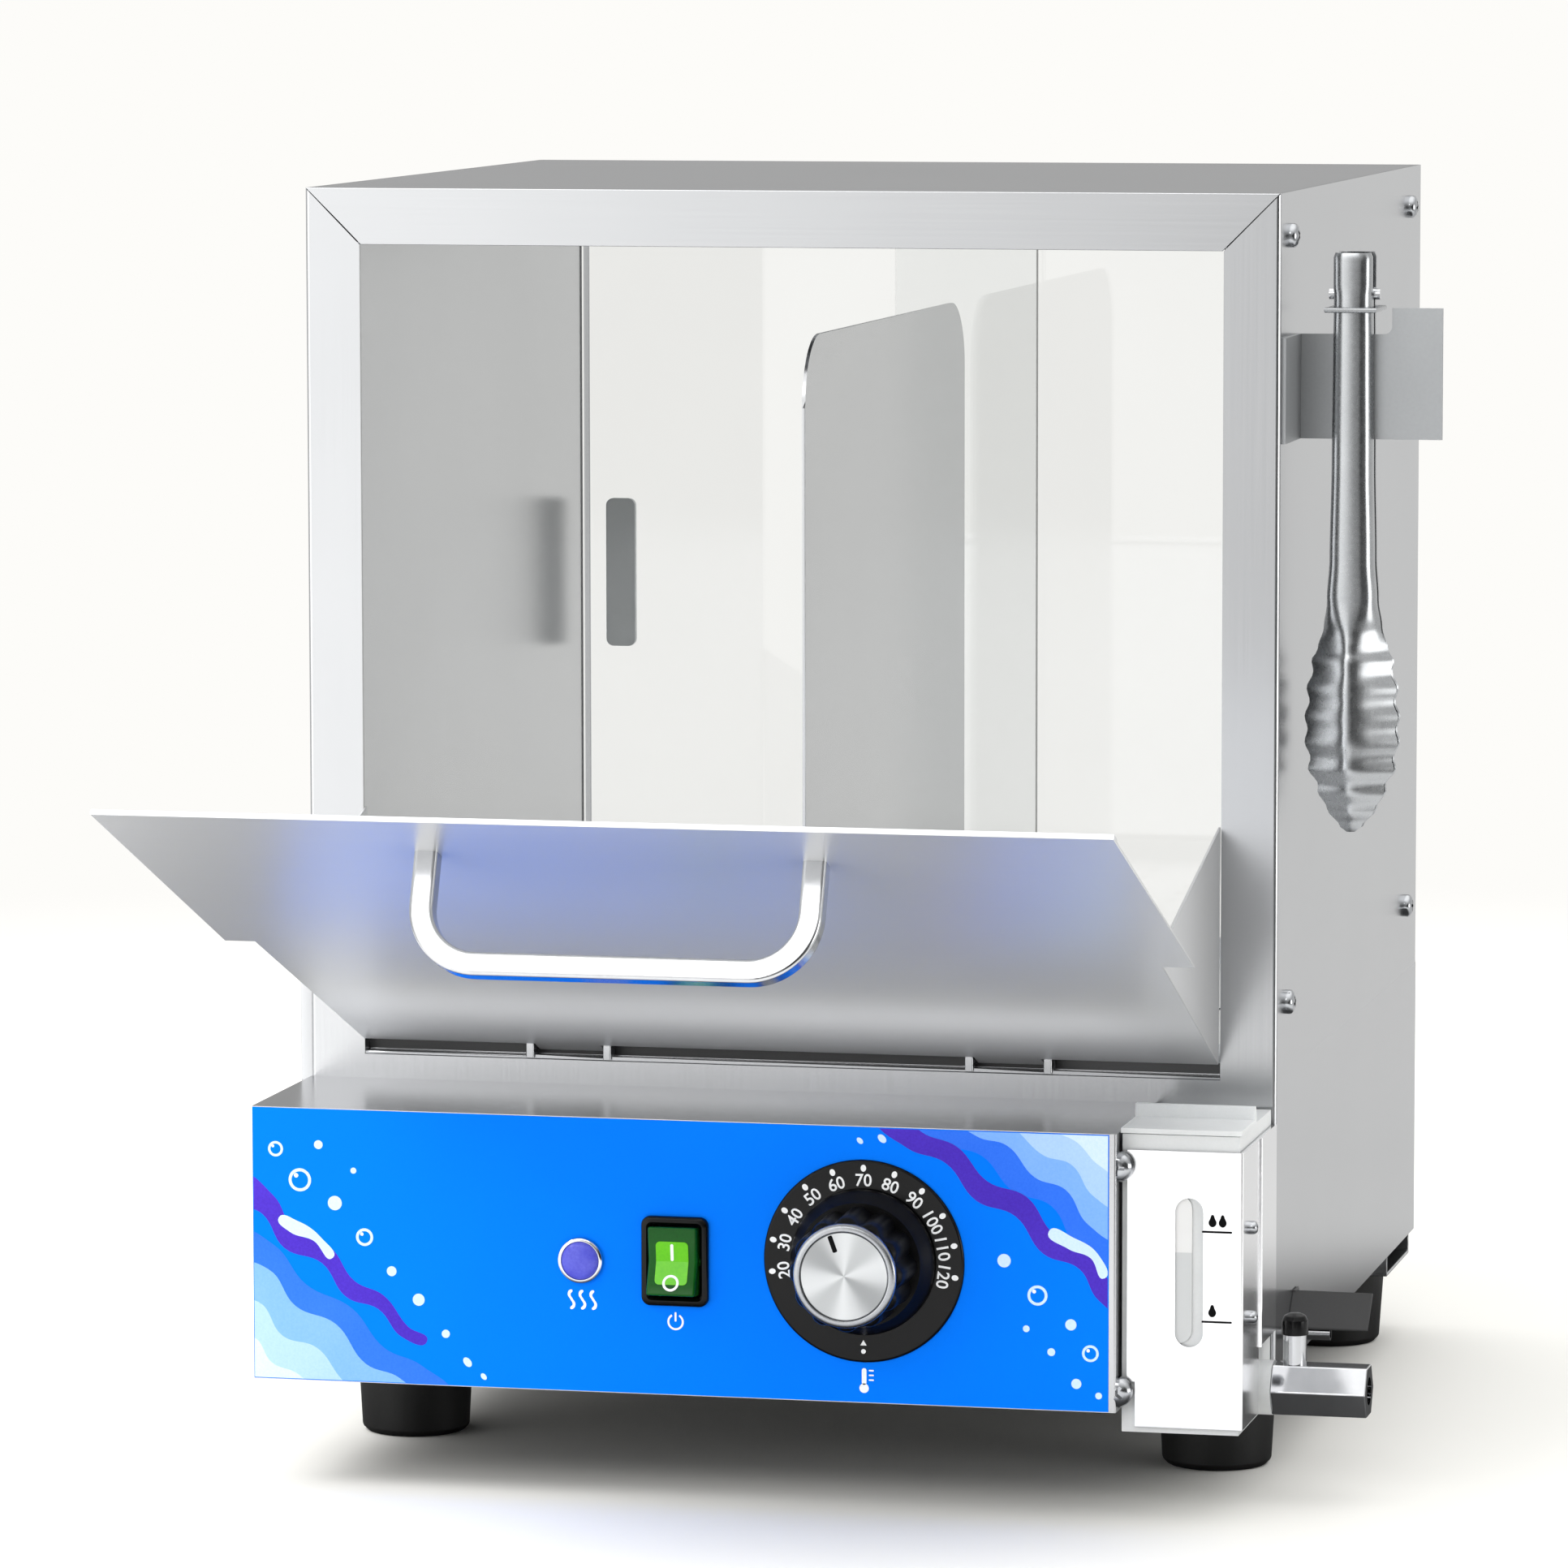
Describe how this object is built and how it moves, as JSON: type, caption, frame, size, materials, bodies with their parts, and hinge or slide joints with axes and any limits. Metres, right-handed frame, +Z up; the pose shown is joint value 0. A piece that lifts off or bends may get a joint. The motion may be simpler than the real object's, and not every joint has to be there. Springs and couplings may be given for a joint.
{
  "type": "hot dog steamer",
  "caption": "Counter-top hot dog steamer with an open tilting front door, sliding rear glass, control box, water gauge, drain valve and hanging tongs.",
  "frame": {"origin": "centre of the footprint of the four feet, on the counter", "axes": "+X to the right as seen by a user in front, +Y to the back, +Z up; the front door and the controls face -Y"},
  "size_m": [0.4173, 0.6367, 0.465],
  "materials": {
    "satin_steel": "satin, finely brushed",
    "polished_steel": "polished",
    "tank_steel": "satin, pressed",
    "track_aluminium": "anodised",
    "plated_steel": "light grey, satin",
    "dark_plate": "black, satin",
    "blue_film": "smooth, semi gloss",
    "black_gloss": "gloss",
    "black_matte": "fine matte",
    "green_rocker": "translucent, gloss",
    "lamp_lens": "translucent, gloss",
    "frosted_plastic": "frosted",
    "rear_glass": "clear",
    "foot_rubber": "matte",
    "element_steel": "dull",
    "valve_metal": "machined"
  },
  "bodies": {
    "housing": {"top_panel": "satin_steel", "left_side_panel": "satin_steel", "right_side_panel": "satin_steel", "left_liner": "satin_steel", "right_liner": "satin_steel", "corner_brackets": "plated_steel", "side_screws": "polished_steel", "front_sill": "satin_steel", "hinge_rod": "polished_steel", "lower_track": "track_aluminium", "upper_track": "track_aluminium", "base_shell": "satin_steel", "base_rear_panel": "satin_steel", "cord_gland": "black_matte", "bottom_plate": "plated_steel", "rear_foot_channel": "plated_steel", "front_feet": "foot_rubber", "rear_feet": "foot_rubber", "foot_screws": "polished_steel", "water_tank": "tank_steel", "heating_element": "element_steel", "control_box": "satin_steel", "panel_overlay": "blue_film", "dial_plate": "black_gloss", "thermostat_body": "black_matte", "sensor_bulb": "valve_metal", "switch_bezel": "black_gloss", "lamp_bezel": "polished_steel", "lamp_lens": "lamp_lens", "gauge_tank": "frosted_plastic", "gauge_cover": "polished_steel", "control_screws": "polished_steel", "gauge_link_pipe": "tank_steel", "valve_nipple": "valve_metal", "valve_body": "polished_steel", "drip_shield": "dark_plate", "overflow_tube": "polished_steel", "tong_holder": "satin_steel", "service_cover": "satin_steel"},
    "door": {"door_panel": "satin_steel", "door_handle": "polished_steel", "handle_screws": "polished_steel"},
    "left_pane": {"left_glass": "rear_glass", "left_pull": "frosted_plastic"},
    "right_pane": {"right_glass": "rear_glass", "right_pull": "frosted_plastic"},
    "tray": {"steam_tray": "tank_steel"},
    "partition": {"divider": "satin_steel"},
    "knob": {"knob_body": "black_gloss", "knob_cap": "polished_steel", "thermostat_shaft": "polished_steel"},
    "rocker": {"switch_rocker": "green_rocker"},
    "lid": {"gauge_lid": "frosted_plastic"},
    "valve_handle": {"valve_stem": "polished_steel", "valve_cap": "black_matte"},
    "tongs": {"tongs_front_arm": "polished_steel", "tongs_pin": "polished_steel", "tongs_spring": "polished_steel"},
    "tongs_rear": {"tongs_rear_arm": "polished_steel"},
    "tongs_lock": {"tongs_ring": "polished_steel"}
  },
  "joints": [
    {"name": "door_hinge", "type": "hinge", "parent": "housing", "child": "door", "pos_m": [0, -0.16824, 0.1558], "axis": [-1, 0, 0], "range_deg": [0, 68]},
    {"name": "left_pane_slide", "type": "slide", "parent": "housing", "child": "left_pane", "axis": [1, 0, 0], "range_m": [0, 0.128]},
    {"name": "right_pane_slide", "type": "slide", "parent": "housing", "child": "right_pane", "axis": [-1, 0, 0], "range_m": [0, 0.126]},
    {"name": "tray_lift", "type": "slide", "parent": "housing", "child": "tray", "axis": [0, 0, 1], "range_m": [0, 0.015]},
    {"name": "divider_lift", "type": "slide", "parent": "tray", "child": "partition", "axis": [0, 0, 1], "range_m": [0, 0.025]},
    {"name": "knob_turn", "type": "hinge", "parent": "housing", "child": "knob", "pos_m": [0.0455, -0.2474, 0.09], "axis": [0, 1, 0], "range_deg": [-160, 118]},
    {"name": "rocker_tilt", "type": "hinge", "parent": "housing", "child": "rocker", "pos_m": [-0.0232, -0.2474, 0.0875], "axis": [1, 0, 0], "range_deg": [0, 14]},
    {"name": "lid_hinge", "type": "hinge", "parent": "housing", "child": "lid", "pos_m": [0.1577, -0.2065, 0.1398], "axis": [-1, 0, 0], "range_deg": [0, 55]},
    {"name": "valve_turn", "type": "hinge", "parent": "housing", "child": "valve_handle", "pos_m": [0.1914, -0.196, 0.05], "axis": [0, 0, -1], "range_deg": [0, 90]},
    {"name": "tongs_lift", "type": "slide", "parent": "housing", "child": "tongs", "axis": [0, 0, 1], "range_m": [0, 0.045]},
    {"name": "tongs_spread", "type": "hinge", "parent": "tongs", "child": "tongs_rear", "pos_m": [0.2008, -0.13225, 0.428], "axis": [1, 0, 0], "range_deg": [0, 7]},
    {"name": "lock_ring_slide", "type": "slide", "parent": "tongs", "child": "tongs_lock", "axis": [0, 0, -1], "range_m": [0, 0.006]}
  ]
}
